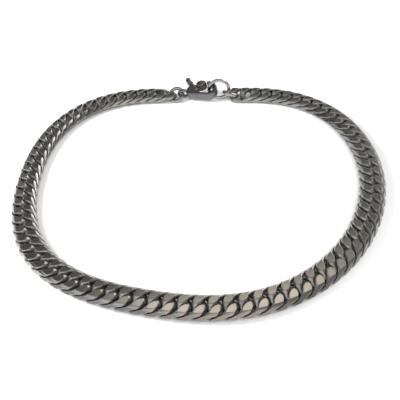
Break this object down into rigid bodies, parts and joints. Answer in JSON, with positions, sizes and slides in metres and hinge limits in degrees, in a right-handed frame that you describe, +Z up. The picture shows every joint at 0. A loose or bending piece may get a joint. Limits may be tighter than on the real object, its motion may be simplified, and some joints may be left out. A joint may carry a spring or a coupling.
{
  "type": "curb chain bracelet",
  "caption": "Double curb chain bracelet lying as a closed loop, each link through the next two, with jump rings and a sprung lobster clasp.",
  "frame": {"origin": "centre of the closed loop's outline, on the surface that the bracelet lies on", "axes": "+Z up, +X to the right along the loop's longer way, +Y from the front of the loop towards the clasp"},
  "size_m": [0.071, 0.0638, 0.0053],
  "materials": {
    "chain_steel": "polished cut facets, dark in the gaps",
    "ring_steel": "polished",
    "clasp_steel": "polished, darkened in the hollows",
    "lever_steel": "polished"
  },
  "bodies": {
    "bracelet": {"chain_left": "chain_steel", "chain_right": "chain_steel", "tail_ring": "ring_steel", "end_ring": "ring_steel", "catch_ring": "ring_steel", "clasp_body": "clasp_steel", "clasp_pin": "clasp_steel"},
    "lever": {"clasp_lever": "lever_steel"}
  },
  "joints": [
    {"name": "lever_pivot", "type": "hinge", "parent": "bracelet", "child": "lever", "pos_m": [0.00141, 0.02797, 0.00201], "axis": [-0.1637, -0.2866, 0.944], "range_deg": [0, 22], "stiffness_Nm_per_rad": 0.004}
  ]
}
